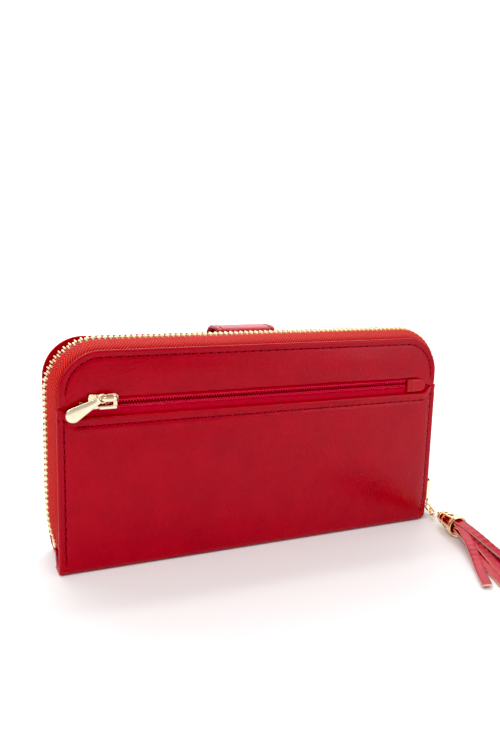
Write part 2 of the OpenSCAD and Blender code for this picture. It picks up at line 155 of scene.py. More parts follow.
class Soup:
    """Collects pieces of mesh, each with its material number, for one object."""

    def __init__(self):
        self.verts, self.faces, self.marks, self.strips, self.count = [], [], [], [], 0

    def add(self, verts, faces, mark=0, strip=None, spot=None):
        """Adds a piece, moved by the matrix spot. mark is a number, or one for each face."""
        verts = np.asarray(verts, float).reshape(-1, 3)
        if spot is not None:
            spot = np.array(spot)
            verts = verts @ spot[:3, :3].T + spot[:3, 3]
        self.faces += [tuple(int(i) + self.count for i in f) for f in faces]
        self.marks += [mark] * len(faces) if isinstance(mark, int) else mark
        self.verts.append(verts)
        self.strips.append(np.zeros_like(verts) if strip is None else strip.reshape(-1, 3))
        self.count += len(verts)
        return self

    def build(self, name, materials, body, replaces=(), slot=None, sharp=40):
        """Makes the object, lets it ride on a body, and hides the CAD nodes it stands for."""
        mesh = bpy.data.meshes.new(name)
        mesh.from_pydata((np.concatenate(self.verts) * MM).tolist(), [], self.faces)
        for material in materials:
            mesh.materials.append(material)
        mesh.polygons.foreach_set("material_index", self.marks)
        write(mesh, "rest", np.concatenate(self.verts))
        write(mesh, "strip", np.concatenate(self.strips))
        work = bmesh.new()
        work.from_mesh(mesh)
        bmesh.ops.recalc_face_normals(work, faces=work.faces)
        work.to_mesh(mesh)
        work.free()
        mesh.polygons.foreach_set("use_smooth", [True] * len(mesh.polygons))
        mesh.set_sharp_from_angle(angle=math.radians(sharp))
        mesh.update()
        made = bpy.data.objects.new(name, mesh)
        bpy.context.scene.collection.objects.link(made)
        if body:
            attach(made, body)
        if replaces:
            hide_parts(*replaces)
        return made


def grid(rows, cols, join_rows=0, join_cols=0):
    """Point numbers of a grid, with its first row or column again at its end to join it."""
    index = np.arange(rows * cols).reshape(rows, cols)
    return np.pad(index, ((0, join_rows), (0, join_cols)), mode="wrap")


def quads(index, flip=False):
    """The faces between the rows and columns of a grid of point numbers."""
    a, b, c, d = index[:-1, :-1], index[:-1, 1:], index[1:, 1:], index[1:, :-1]
    order = (a, d, c, b) if flip else (a, b, c, d)
    return np.stack([i.ravel() for i in order], -1).tolist()


def loft(rings):
    """A skin over rows of points, each row a loop, with a face at both ends."""
    index = grid(*rings.shape[:2], join_cols=1)
    ends = [index[0, -2::-1].tolist(), index[-1, :-1].tolist()]
    return rings.reshape(-1, 3), quads(index) + ends


def tube(path, radius, sides=8, closed=False, up=(0, 0, 1)):
    """A tube along path. radius is one number, or across up and along up."""
    path = np.asarray(path, float)
    run = np.roll(path, -1, 0) - np.roll(path, 1, 0) if closed else np.gradient(path, axis=0)
    run = unit(run)
    side = unit(np.cross(run, np.asarray(up, float)))
    rise = np.cross(side, run)
    radius = np.broadcast_to(np.asarray(radius, float), (len(path), 2))
    cos, sin = np.cos(circle(sides))[:, None], np.sin(circle(sides))[:, None]
    rings = (path[:, None] + side[:, None] * (radius[:, None, :1] * cos)
             + rise[:, None] * (radius[:, None, 1:] * sin))
    return (rings.reshape(-1, 3), quads(grid(len(path), sides, 1, 1))) if closed else loft(rings)


def revolve(profile, sides=40):
    """Turns a closed profile of (radius, height) points about Z."""
    out, height = np.asarray(profile, float).T
    angle = circle(sides)[:, None]
    rings = points(out * np.cos(angle), out * np.sin(angle), height)
    return rings.reshape(-1, 3), quads(grid(sides, len(out), 1, 1))


def cut_plate(loops, thick, bevel):
    """A flat plate in XY with round edges. The first loop is its outline, the others its holes."""
    curve = bpy.data.curves.new("cut", "CURVE")
    curve.dimensions = "2D"
    curve.fill_mode = "BOTH"
    curve.extrude = thick / 2 - bevel
    curve.bevel_depth = bevel
    curve.bevel_resolution = 2
    curve.offset = -bevel
    for loop in loops:
        spline = curve.splines.new("POLY")
        spline.points.add(len(loop) - 1)
        spline.points.foreach_set("co", [c for x, y in loop for c in (x, y, 0.0, 1.0)])
        spline.use_cyclic_u = True
    made = bpy.data.objects.new("cut", curve)
    bpy.context.scene.collection.objects.link(made)
    view = bpy.context.evaluated_depsgraph_get()
    mesh = bpy.data.meshes.new_from_object(made.evaluated_get(view))
    verts = [tuple(v.co) for v in mesh.vertices]
    faces = [tuple(p.vertices) for p in mesh.polygons]
    bpy.data.objects.remove(made)
    bpy.data.meshes.remove(mesh)
    return verts, faces


def round_box(low, high, r):
    """A box between two corners, with round edges."""
    low, high = np.asarray(low, float), np.asarray(high, float)
    work = bmesh.new()
    bmesh.ops.create_cube(work, size=1)
    for v in work.verts:
        v.co = Vector((low + high) / 2) + Vector(np.array(v.co) * (high - low))
    bmesh.ops.bevel(work, geom=list(work.edges), offset=r, segments=3, profile=0.5,
                    affect="EDGES")
    work.verts.index_update()
    verts = [tuple(v.co) for v in work.verts]
    faces = [tuple(v.index for v in f.verts) for f in work.faces]
    work.free()
    return verts, faces


# ---- leather panels ------------------------------------------------------------

# Distances from an edge at which a panel has a row of points.
EDGE = np.array([0, .05, .15, .3, .5, .75, 1.1, 1.6, 2.1, 2.45, 2.7, 2.9, 3.1, 3.3, 3.5,
                 3.75, 4.1, 4.6, 5.4, 6.4])


def stations(length, step):
    """Distances along a panel, close together near both ends."""
    edge = EDGE[EDGE < length / 2 - 0.3]
    count = max(2, int(round((length - 2 * edge[-1]) / step)) + 1)
    middle = np.linspace(edge[-1], length - edge[-1], count)
    return np.concatenate([edge, middle[1:-1], length - edge[::-1]])


def as_line(value):
    """A function of x as it is, or a level line from a number."""
    return value if callable(value) else lambda x: np.full_like(np.asarray(x, float), value)


class Outline:
    """Straight sides, round top corners, and lower and upper edges that may curve.

    low and high are numbers or functions of x. left and right draw those sides in near
    the bottom.
    """

    def __init__(self, half, low, high, r=0.0, left=0.0, right=0.0):
        self.half, self.r, self.left, self.right = half, r, left, right
        self.low, self.high = as_line(low), as_line(high)
        self.crown = float(np.max(self.high(np.linspace(-half, half, 9))))

    def side(self, z, right):
        """Half width at height z, on the right or the left."""
        up = np.clip(z - (self.crown - self.r), 0, self.r)
        width = self.half - self.r + np.sqrt(np.maximum(self.r ** 2 - up ** 2, 0))
        right_in = self.right * ((1 - ease((z + 4) / 26)) ** 1.5 + (1 - ease((z + 1) / 5)) ** 2)
        left_in = self.left * np.clip((LEFT_TURN - z) / LEFT_TURN, 0, 1) ** 2
        return width - np.where(right, right_in, left_in)

    def points(self, step):
        """X and Z of a grid of points that fills the outline."""
        u = stations(2 * self.half, step) / self.half - 1
        low, high = self.low(u * self.half), self.high(u * self.half)
        t = stations(float(self.crown - low.min()), step)
        z = low[None] + (t / t[-1])[:, None] * (high - low)[None]
        return u[None] * self.side(z, u[None] > 0), z

    def inside(self, x, z):
        """How far a point is in from the edge."""
        gap = np.minimum(self.side(z, x > 0) - np.abs(x), self.high(x) - z)
        gap = np.minimum(gap, z - self.low(x))
        if self.r:
            over = np.abs(x) - (self.half - self.r)
            up = z - (self.crown - self.r)
            round_gap = self.r - np.hypot(over, up)
            gap = np.where((over > 0) & (up > 0), np.minimum(round_gap, z - self.low(x)), gap)
        return np.maximum(gap, 0)


def standing(y, way):
    """Puts a panel upright. y is its outer face, way is -1 towards -Y and 1 towards +Y."""
    return lambda x, z, out: points(x, y + way * out, z)


def folded(y, way):
    """As standing, but below the fold the sheet turns and runs in under the wallet."""

    def place(x, z, out):
        a = np.clip((FOLD_R - z) / FOLD_R, 0, math.pi / 2)
        under = np.maximum(FOLD_R - z - FOLD_R * math.pi / 2, 0)
        py = y - way * (FOLD_R * (1 - np.cos(a)) + under)
        pz = np.where(z >= FOLD_R, z, FOLD_R * (1 - np.sin(a)))
        return points(x, py + way * out * np.cos(a), pz - out * np.sin(a))

    return place


class Panel:
    """A closed leather or cloth panel with a round edge, and the shape of its outer face."""

    def __init__(self, outline, thick, place, relief=None, step=1.3, edge_r=None, bend=None):
        self.outline, self.thick, self.place, self.relief = outline, thick, place, relief
        self.edge_r = edge_r or thick / 2
        self.bend = bend or (lambda x, z: 0 * x)
        x, z = outline.points(step)
        inner = self.bend(x, z) - thick / 2 * (1 + self.roundness(x, z))
        flat = points(x, z, 0.0)
        rows, cols = x.shape
        index = grid(rows, cols)
        below = index.copy()
        below[1:-1, 1:-1] = rows * cols + grid(rows - 2, cols - 2)
        self.verts, self.strip = (
            np.concatenate([front.reshape(-1, 3), back[1:-1, 1:-1].reshape(-1, 3)])
            for front, back in ((place(x, z, self.surface(x, z)), place(x, z, inner)),
                                (flat, flat)))
        self.faces = quads(index) + quads(below, flip=True)

    def roundness(self, x, z):
        gap = np.clip(self.outline.inside(x, z) / self.edge_r, 0, 1)
        return np.sqrt(1 - (1 - gap) ** 2)

    def surface(self, x, z):
        """How far the outer face stands out at a point."""
        x, z = np.asarray(x, float), np.asarray(z, float)
        lift = self.relief(x, z, self.outline.inside(x, z)) if self.relief else 0
        round_edge = (self.thick / 2 + lift) * self.roundness(x, z)
        return self.bend(x, z) - self.thick / 2 + round_edge

    def soup(self):
        return Soup().add(self.verts, self.faces, strip=self.strip)


# The last material number is for the painted shade in the stitch holes.
THREAD, HOLE_SHADE = 1, 2                     # material numbers on a stitched panel
THREAD_R = (0.3, 0.24)


def stitches(soup, panel, path, pitch):
    """Thread along path on a panel's face, down through a hole after every stitch; each hole's dark
    is painted shade.
    """
    run = lengths(path)
    count = int(run[-1] / pitch)
    pitch = run[-1] / count
    share = np.array([0.2, 0.28, 0.4, 0.5, 0.6, 0.72, 0.8])
    rim = 10
    cos, sin = np.cos(circle(rim))[:, None], np.sin(circle(rim))[:, None]
    after = [(j + 1) % rim for j in range(rim)]
    faces = [(j, k, rim + k, rim + j) for j, k in enumerate(after)]
    faces += [tuple(range(rim, 2 * rim))] + [(k, j, 2 * rim) for j, k in enumerate(after)]

    def spot(s, out):
        x, z = np.interp(s, run, path[:, 0]), np.interp(s, run, path[:, 1])
        return x, z, panel.place(x, z, panel.surface(x, z) + out)

    for i in range(count):
        x, z, line = spot((i + share) * pitch, 0.16 - 4.0 * (share - 0.5) ** 2)
        face = panel.place(x[3:4], z[3:4], 1.0)[0] - panel.place(x[3:4], z[3:4], 0.0)[0]
        soup.add(*tube(line, THREAD_R, 6, up=face), THREAD)
        along = unit(line[-1] - line[0])
        # Each hole is a near-black cap over a sunk cone: painted shade for the dark inside the
        # stitch hole.
        centre = spot([(i + 1) * pitch], 0.02)[2][0]
        ring = centre + pitch * 0.19 * cos * along + 0.36 * sin * np.cross(face, along)
        mouth = ring * 0.35 + centre * 0.65 + face * 0.05
        soup.add(np.concatenate([ring, mouth, [centre - face * 0.3]]), faces, HOLE_SHADE)


def seam_path(half, low, high):
    """The stitches up the left side, along the top and down the right, and their pitch."""
    w, h, r = half - STITCH_IN, high - STITCH_IN, CORNER_R - STITCH_IN
    return np.concatenate([[[-w, low]], arc(r - w, h - r, r, 180, 90, 24),
                           arc(w - r, h - r, r, 90, 0, 24), [[w, low]]]), 4.0

# ---- materials -----------------------------------------------------------------


class Finish:
    """A procedural material. Its patterns use the mesh's rest attribute, in millimetres."""

    def __init__(self, name, colour, rough, metal=0.0, coat=0.0):
        self.made = bpy.data.materials.new(name)
        self.made.use_nodes = True
        self.made.diffuse_color = (*colour, 1)
        self.tree = self.made.node_tree
        self.shader = self.tree.nodes["Principled BSDF"]
        self.set(Base_Color=(*colour, 1), Roughness=rough, Metallic=metal, Coat_Weight=coat,
                 Coat_Roughness=0.12, Specular_IOR_Level=0.5)
        self.height = None

    def set(self, **values):
        """Sets the shader's own sockets, whose names have spaces for the underscores."""
        for socket, value in values.items():
            self.shader.inputs[socket.replace("_", " ")].default_value = value

    def node(self, kind):
        return self.tree.nodes.new("ShaderNode" + kind)

    def link(self, source, target):
        self.tree.links.new(source, target)

    def place(self, name="rest"):
        node = self.node("Attribute")
        node.attribute_name = name
        return node.outputs["Vector"]

    def split(self, name="rest"):
        node = self.node("SeparateXYZ")
        self.link(self.place(name), node.inputs[0])
        return node.outputs

    def math(self, what, a, b=0.0):
        node = self.node("Math")
        node.operation = what
        for socket, value in zip(node.inputs, (a, b)):
            if isinstance(value, (int, float)):
                socket.default_value = value
            else:
                self.link(value, socket)
        return node.outputs[0]

    def pattern(self, kind, scale):
        """A texture node on the rest attribute. scale is in bumps per millimetre."""
        shape = self.node("VectorMath")
        shape.operation = "SCALE"
        shape.inputs["Scale"].default_value = scale
        self.link(self.place(), shape.inputs[0])
        node = self.node(kind)
        node.inputs["Scale"].default_value = 1.0
        self.link(shape.outputs[0], node.inputs["Vector"])
        return node

    def noise(self, scale, detail=2.0):
        """Noise from 0 to 1."""
        node = self.pattern("TexNoise", scale)
        node.inputs["Detail"].default_value = detail
        return node.outputs["Fac"]

    def cells(self, scale):
        """Leather grain: 0 in the creases between the pebbles, 1 on top of them."""
        node = self.pattern("TexVoronoi", scale)
        node.feature = "SMOOTH_F1"
        return self.math("SUBTRACT", 1.0, node.outputs["Distance"])

    def span(self, value, low, high):
        """Maps value from 0-1 to low-high."""
        return self.math("ADD", self.math("MULTIPLY", value, high - low), low)

    def wave(self, value, turn):
        """A sine from 0 to 1."""
        return self.span(self.math("SINE", self.math("MULTIPLY", value, turn)), 0.5, 1.0)

    def paint(self, value, low, high):
        """Colours from low to high as value goes from 0 to 1."""
        node = self.node("Mix")
        node.data_type = "RGBA"
        colours = [s for s in node.inputs if s.type == "RGBA"]
        colours[0].default_value, colours[1].default_value = (*low, 1), (*high, 1)
        self.link(value, node.inputs[0])
        self.link([s for s in node.outputs if s.type == "RGBA"][0],
                  self.shader.inputs["Base Color"])

    def polish(self, value, low, high):
        self.link(self.span(value, low, high), self.shader.inputs["Roughness"])

    def bump(self, value, depth):
        """Raises the surface by value times depth, in millimetres, over earlier bumps."""
        node = self.node("Bump")
        node.inputs["Distance"].default_value = depth * MM
        self.link(value, node.inputs["Height"])
        if self.height:
            self.link(self.height, node.inputs["Normal"])
        self.height = node.outputs["Normal"]
        for socket in ("Normal", "Coat Normal"):
            self.link(self.height, self.shader.inputs[socket])


def tint(colour, share):
    return tuple(min(c * share, 1) for c in colour)


def leather(name, colour, rough=0.34, coat=0.12, grain=0.05, gloss=0.5):
    made = Finish(name, colour, rough, coat=coat)
    made.set(Specular_Tint=(1.0, 0.35, 0.4, 1), Specular_IOR_Level=gloss)
    made.paint(made.noise(0.09, 3), tint(colour, 0.78), tint(colour, 1.2))
    made.polish(made.noise(0.5, 3), rough - 0.06, rough + 0.08)
    made.bump(made.cells(1.15), grain)
    made.bump(made.noise(0.7, 4), grain * 2.0)
    made.bump(made.noise(2.6, 2), grain * 0.4)
    return made.made


def cloth(name, colour, pitch, rough=0.75):
    """A plain weave."""
    made = Finish(name, colour, rough)
    made.set(Specular_IOR_Level=0.2)
    x, y, z = made.split()
    turn = 2 * math.pi / pitch
    warp = made.math("SINE", made.math("MULTIPLY", made.math("ADD", x, y), turn))
    weft = made.math("SINE", made.math("MULTIPLY", z, turn))
    weave = made.span(made.math("MULTIPLY", warp, weft), 0.5, 1.0)
    made.paint(weave, tint(colour, 0.75), tint(colour, 1.15))
    made.bump(weave, 0.08)
    return made.made


def woven_tape(name, low, high, pitch, fold, slope, depth):
    """A ribbed tape. Its ribs turn back at the fold, which makes a herringbone."""
    made = Finish(name, low, 0.6)
    made.set(Specular_IOR_Level=0.25)
    along, across, _ = made.split("strip")
    zigzag = made.math("ABSOLUTE", made.math("SUBTRACT", across, fold))
    phase = made.math("ADD", along, made.math("MULTIPLY", zigzag, slope))
    rib = made.wave(phase, 2 * math.pi / pitch)
    made.paint(rib, low, high)
    made.bump(rib, depth)
    made.bump(made.wave(across, 16.0), depth * 0.3)
    made.bump(made.noise(3.0, 2), depth * 0.4)
    return made.made


def shiny(name, colour, rough, metal=1.0):
    """Polished metal, or nylon where metal is 0."""
    made = Finish(name, colour, rough, metal)
    cloud = made.noise(0.5, 3)
    made.paint(cloud, tint(colour, 0.9), tint(colour, 1.05))
    made.polish(cloud, rough - 0.05, rough + 0.05)
    made.bump(made.noise(1.6, 2), 0.01)
    return made.made


def board(name, colour):
    made = Finish(name, colour, 0.8)
    made.paint(made.noise(1.2, 5), tint(colour, 0.8), tint(colour, 1.15))
    return made.made


def film(name):
    made = Finish(name, (0.9, 0.9, 0.9), 0.12)
    made.set(Transmission_Weight=0.9, Alpha=0.4)
    made.bump(made.noise(0.2, 2), 0.1)
    return made.made


RED = (0.35, 0.001, 0.007)
ROSE = (0.40, 0.004, 0.02)
CREAM = (0.80, 0.50, 0.34)

red_leather = leather("Glossy_Red_Leather", RED)
edge_leather = leather("Leather_Edge", tint(RED, 1.1), 0.3, 0.2)
slot_leather = leather("Slot_Leather", tint(RED, 0.85), 0.42, 0.05)
strip_leather = leather("Tassel_Leather", ROSE, 0.36, 0.04, 0.03, 0.3)
cut_edge = leather("Tassel_Cut_Edge", CREAM, 0.6, 0.0)
core_leather = leather("Tassel_Core", tint(RED, 0.9), 0.4, 0.1)
lining_cloth = cloth("Lining_Cloth", (0.22, 0.006, 0.016), 0.6)
stiffener = board("Stiffener_Board", (0.45, 0.32, 0.20))
tape_cloth = woven_tape("Herringbone_Tape", (0.26, 0.003, 0.003), (0.80, 0.032, 0.022),
                        1.35, 8.2, 1.0, 0.2)
coil_cloth = woven_tape("Ribbed_Tape", (0.30, 0.001, 0.008), (0.74, 0.006, 0.035),
                        1.1, -40, 0.9, 0.12)
coil_nylon = shiny("Coil_Nylon", (0.66, 0.005, 0.035), 0.35, 0.0)
thread = cloth("Stitch_Thread", (0.30, 0.0015, 0.008), 0.3, 0.5)
# The stitch holes' near-black colour is painted shade, not the colour of the leather or thread.
stitch_hole_shade = cloth("Stitch_Hole_Painted_Shade", (0.02, 0.0, 0.001), 0.3)
zip_metal = shiny("Pale_Gold_Zip", (0.86, 0.70, 0.46), 0.26)
gold_plate = shiny("Pale_Gold_Plate", (0.98, 0.84, 0.62), 0.2)
tassel_gold = shiny("Warm_Gold", (0.96, 0.75, 0.44), 0.24)
clear_film = film("Clear_Film")
stitched_leather = [red_leather, thread, stitch_hole_shade]


def dress(node, finish, bevel):
    """Gives a shown CAD node its material, round edges and the materials' attributes."""
    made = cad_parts[node]
    mesh = made.data
    mesh.materials.clear()
    mesh.materials.append(finish)
    mesh.polygons.foreach_set("material_index", [0] * len(mesh.polygons))
    spots = np.zeros(len(mesh.vertices) * 3)
    mesh.vertices.foreach_get("co", spots)
    x, y, z = (spots / MM).reshape(-1, 3).T
    write(mesh, "rest", spots / MM)
    write(mesh, "strip", points(x, z + y, 0.0))
    if bevel:
        soften = made.modifiers.new("soften", "BEVEL")
        soften.width = bevel * MM
        soften.segments = 2
        soften.limit_method = "ANGLE"
        soften.harden_normals = True


def sewn(name, panel, seams, body, *nodes):
    """Makes a red leather panel with its stitches. A seam is a path and a pitch."""
    soup = panel.soup()
    for path, pitch in seams:
        stitches(soup, panel, path, pitch)
    return soup.build(name, stitched_leather, body, nodes, "red_leather")


# ---- leather covers ------------------------------------------------------------

LOW_SHEET = FOLD_R - FOLD_R * math.pi / 2 - UNDER   # lowest point of a wrapped cover
CRAWL = 1.3                                         # spacing of points on a near cover
WIDE_STEP = 1.8                                     # and on a far one


def pocket_mouth(x):
    """Upper edge of the slip pocket: level, and rising to an ear at each end."""
    return POCKET_TOP + 3.9 * ease((np.abs(np.asarray(x, float)) - 88.5) / 5.5)


def pocket_relief(x, z, gap):
    """Turned edge, stitch lines, a padded middle and the creases by the right end."""
    up = ease((z - 1.5) / 5)
    side = POCKET_HALF - np.abs(x)
    down = pocket_mouth(x) - z
    lift = up * (ridge(side, 1.1, 0.9, 0.22) + ridge(side, STITCH_IN, 0.7, -0.2))
    lift += ridge(down, 1.1, 0.8, 0.28) + ridge(down, 4.0, 0.7, -0.2) + ridge(down, 5.8, 1.4, 0.12)
    lift += ridge(down, 2.6, 1.4, 0.07) * np.sin(2 * math.pi * x / 3.6)
    lift += ridge(side, 1.9, 1.0, 0.05) * np.sin(2 * math.pi * z / 4) * up
    swell = ease((side - 3.4) / 16) * ease((down - 4.4) / 12) * ease((z - 1) / 16)
    lift += swell * (0.22 + 0.2 * soft_noise(x, z, 34.0, 3.1) + 0.07 * soft_noise(x, z, 11.0, 1.3))
    crease = ridge(x, 79, 4.5, 0.08) * ridge(z, 56, 9, 1.0)
    lift += crease * np.sin(2 * math.pi * (x + 0.8 * np.sin(z / 5)) / 2.3)
    return lift + 0.05 * up * soft_noise(x, z, 5.5, 7.7) * ease(side / 6)


def pocket_roll(x, z):
    """The pocket's right end rolls back a little."""
    return -0.9 * (1 - ease((POCKET_HALF - x) / 11)) ** 2 * ease((z - 1) / 8)


def yoke_lip(x):
    """Lower edge of the yoke: level, and falling to the ears at both ends."""
    fall = 4.6 * ease((np.abs(np.asarray(x, float)) - 81.5) / 12)
    return YOKE_Z - fall


def yoke_relief(x, z, gap):
    lift = ridge(gap, STITCH_IN, 0.7, -0.2) * ease((z - yoke_lip(x) - 2) / 3)
    lift += ridge(gap, 1.1, 0.8, 0.2)
    return lift + ease((gap - 3.3) / 7) * (
        0.24 + 0.2 * soft_noise(x, z, 26.0, 5.2) + 0.05 * soft_noise(x, z, 8.0, 2.4))


def yoke_roll(x, z):
    """The yoke's lowest few millimetres roll in over the coil."""
    return -0.75 * (1 - ease((z - yoke_lip(x)) / 4.2)) ** 1.6


def far_relief(x, z, gap):
    lift = ease((z - 1.5) / 5) * (ridge(gap, 1.2, 0.9, 0.12) + ridge(gap, STITCH_IN, 0.45, -0.26))
    swell = ease((gap - 3.4) / 16) * ease((z - 1) / 16)
    return lift + swell * (0.15 + 0.25 * soft_noise(x, z, 38.0, 8.8)
                           + 0.07 * soft_noise(x, z, 12.0, 4.4))


def wall_relief(x, z, gap):
    return (ridge(gap, 1.2, 0.9, 0.1) + ridge(gap, STITCH_IN, 0.45, -0.24)
            + 0.05 * ease((gap - 3.4) / 8) * soft_noise(x, z, 20.0, 6.1))


outline = Outline(POCKET_HALF, LOW_SHEET, pocket_mouth, right=2.0)
pocket = Panel(outline, 1.5, folded(NEAR_Y, -1), pocket_relief, CRAWL, 0.75, pocket_roll)
line_x = np.linspace(-POCKET_HALF + 7.5, POCKET_HALF - 7.5, 160)
seams = [(points(line_x, pocket_mouth(line_x) - 4.0), 3.6)]
for way in (-1, 1):
    line_z = np.linspace(4, POCKET_TOP - 1.5, 40)
    line_x = way * (outline.side(line_z, way > 0) - STITCH_IN)
    seams.append((points(line_x, line_z), 4.0))
made = sewn("Pocket_Cover", pocket, seams, None, "pocket_panel")
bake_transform(made)

outline = Outline(HALF_W, yoke_lip, TOP_Z, CORNER_R)
yoke = Panel(outline, 1.1, standing(NEAR_Y + 0.4, -1), yoke_relief, CRAWL, 0.75, yoke_roll)
sewn("Yoke", yoke, [seam_path(HALF_W, 77.5, TOP_Z)], "back_half", "yoke_panel")

outline = Outline(FLAP_HALF, LOW_SHEET, FLAP_TOP, CORNER_R, FAR_TURN)
flap = Panel(outline, 1.3, folded(FAR_Y, 1), far_relief, WIDE_STEP)
made = sewn("Flap_Cover", flap, [seam_path(FLAP_HALF, 4, FLAP_TOP)], None, "flap_panel")
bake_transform(made)

outline = Outline(HALF_W, WALL_LOW[2], TOP_Z, CORNER_R, TURN_IN)
wall = Panel(outline, 1.3, standing(WALL_HIGH[1], 1), wall_relief, WIDE_STEP)
sewn("Wall_Leather", wall, [seam_path(HALF_W, 4, TOP_Z)], "body", "wall_leather")

# The spine's left end turns in a little towards its near side.
SPINE_HALF = 6.7
verts, faces = round_box([-HALF_W - 0.6, -SPINE_HALF, 0.02], [HALF_W - 0.3, SPINE_HALF, 1.2], 0.4)
verts = np.array(verts)
verts[:, 0] += (verts[:, 0] < 0) * (verts[:, 1] + SPINE_HALF) / (2 * SPINE_HALF) * 1.8
Soup().add(verts, faces).build("Spine_Leather", [red_leather], "body", ["spine_panel"],
                               "red_leather")

# ---- inner layers --------------------------------------------------------------


def sheet_panel(node, finish, slot, body, way, step, relief=None, r=0.0):
    """A cloth, board or leather layer in the place of its CAD node."""
    low, high = corners(node)
    turn = TURN_IN if high[0] > 90 else 0.0
    outline = Outline(high[0], low[2], high[2], r, turn)
    place = standing(high[1] if way > 0 else low[1], way)
    Panel(outline, high[1] - low[1], place, relief, step).soup().build(
        node.title() + "_Shape", [finish], body, [node], slot)


def cloth_relief(size, high):
    return lambda x, z, gap: high * ease(gap / 4) * soft_noise(x, z, size, 0.3 * size)


def slot_relief(x, z, gap):
    """A folded upper edge with a creased line under it."""
    return (ridge(gap, 0.9, 0.6, 0.05) + ridge(gap, 2.2, 0.3, -0.1)
            + 0.03 * ease(gap / 6) * soft_noise(x, z, 18.0, 3.9))


for name, way, body in (("wall", -1, "body"), ("back", 1, "back_half"), ("flap", -1, "flap")):
    sheet_panel(name + "_lining", lining_cloth, "lining_cloth", body, way, 3,
                cloth_relief(15.0, 0.06), CORNER_R - 1)
    sheet_panel(name + "_board", stiffener, "stiffener", body, way, 6, None, CORNER_R - 2)
for node, way, body in (("wall_card_slot_1", 1, "body"), ("wall_card_slot_2", 1, "body"),
                        ("wall_card_slot_3", 1, "body"), ("flap_card_slot_1", -1, "flap"),
                        ("flap_card_slot_2", -1, "flap"), ("back_slip_pocket", 1, "back_half")):
    sheet_panel(node, slot_leather, "slot_leather", body, way, 3, slot_relief)
for node, way in (("coin_panel_back", -1), ("coin_panel_front", 1)):
    sheet_panel(node, lining_cloth, "lining_cloth", "coin_pocket", way, 3,
                cloth_relief(22.0, 0.14))
sheet_panel("pocket_lining", lining_cloth, "lining_cloth", "back_half", -1, 4,
            cloth_relief(20.0, 0.12))

# ---- CAD nodes that are shown as they are --------------------------------------

for finish, bevel, nodes in (
        (lining_cloth, 0.15, ["spine_lining"]), (coil_cloth, 0.15, ["coin_zip_tape"]),
        (clear_film, 0.15, ["flap_window"]), (zip_metal, 0.15, ["pocket_end_stop"]),
        (gold_plate, 0.3, ["snap_cap", "snap_socket", "snap_stud"]),
        (gold_plate, 0.25, ["main_slider", "coin_slider", "coin_puller"]),
        (tassel_gold, 0, ["pull_loop", "chain_link_1", "chain_link_2", "jump_ring",
                          "tassel_eye"])):
    for node in nodes:
        dress(node, finish, bevel)

# ---- main zip ------------------------------------------------------------------

FLAT_Y = corners("zip_tape_back")[0][1] + 0.25      # middle of the back tape's flat part
TAPE_LOW = corners("zip_tape_back")[0][2]
TAPE_HALF = 0.22                                    # half of the tape's thickness
TOOTH_LEN = 3.6
END_Y = corners("zip_teeth_front")[0][1] - 2.2      # where the back tape meets its teeth
TEETH_START = 13.5
TOOTH_OUT = -SIDE_TEETH_HIGH[0] - HALF_W            # from the outline out to a tooth
TOOTH_THICK = SIDE_TEETH_HIGH[0] - SIDE_TEETH_LOW[0]


def tuck_in(z, left):
    """On the left, the chain's last stretch turns in under the panels."""
    return left * 7.6 * np.clip((LEFT_TURN - z) / LEFT_TURN, 0, 1) ** 1.9


def round_the_edge(step):
    """Points round the left side, the top and the right side of the outline.

    Gives each point's place in X and Z, and its outward direction.
    """
    side = np.arange(TAPE_LOW, TOP_Z - CORNER_R, step)
    left = points(-HALF_W, side)
    turn = int(CORNER_R * math.pi / 2 / step * 1.4)
    turn_x, turn_z = HALF_W - CORNER_R, TOP_Z - CORNER_R
    flat = np.arange(step - turn_x, turn_x, step)
    spots = [left, arc(-turn_x, turn_z, CORNER_R, 180, 90, turn),
             points(flat, TOP_Z),
             arc(turn_x, turn_z, CORNER_R, 90, 0, turn), (left * (-1, 1))[::-1]]
    outs = [points(-1.0, 0 * side), arc(0, 0, 1, 180, 90, turn), points(0 * flat, 1.0),
            arc(0, 0, 1, 90, 0, turn), points(1.0, 0 * side)]
    return np.concatenate(spots), np.concatenate(outs)


def tape_mesh(way):
    """The tape of one side: flat behind its panel, then curving out to the teeth.

    way is 1 on the pocket side and -1 on the wall side.
    """
    spots, outs = round_the_edge(1.2)
    run = lengths(spots)
    reach = np.array([-5, -3, -1.2, -0.3, 0.4, 1.0, 1.6, 2.2, 2.7, 3.1, 3.4, 3.5, 3.5])
    depth = np.array([0, 0, 0.02, 0.1, 0.35, 0.85, 1.6, 2.5, 3.3, 4.0, 4.6, 5.2, 6.0])
    middle = points(reach, depth)
    slope = unit(np.gradient(middle, axis=0))
    normal = points(slope[:, 1], -slope[:, 0])
    loop = np.concatenate([middle + normal * TAPE_HALF, (middle - normal * TAPE_HALF)[::-1]])
    across = lengths(middle)
    across = np.concatenate([across, across[::-1]])
    sway = 0.12 * soft_noise(run, 0 * run, 14.0, 2.0 + way)
    out = loop[:, 0] + sway[:, None] * ease(loop[:, 0] / 2)
    y = FLAT_Y + loop[:, 1]
    if way < 0:
        y = 2 * CHAIN_Y - y
    x = spots[:, :1] + outs[:, :1] * out
    z = spots[:, 1:] + outs[:, 1:] * out
    x = x + tuck_in(z, x < -HALF_W + 6)
    return Soup().add(*loft(points(x, y, z)), strip=points(run[:, None], across, 0.0))


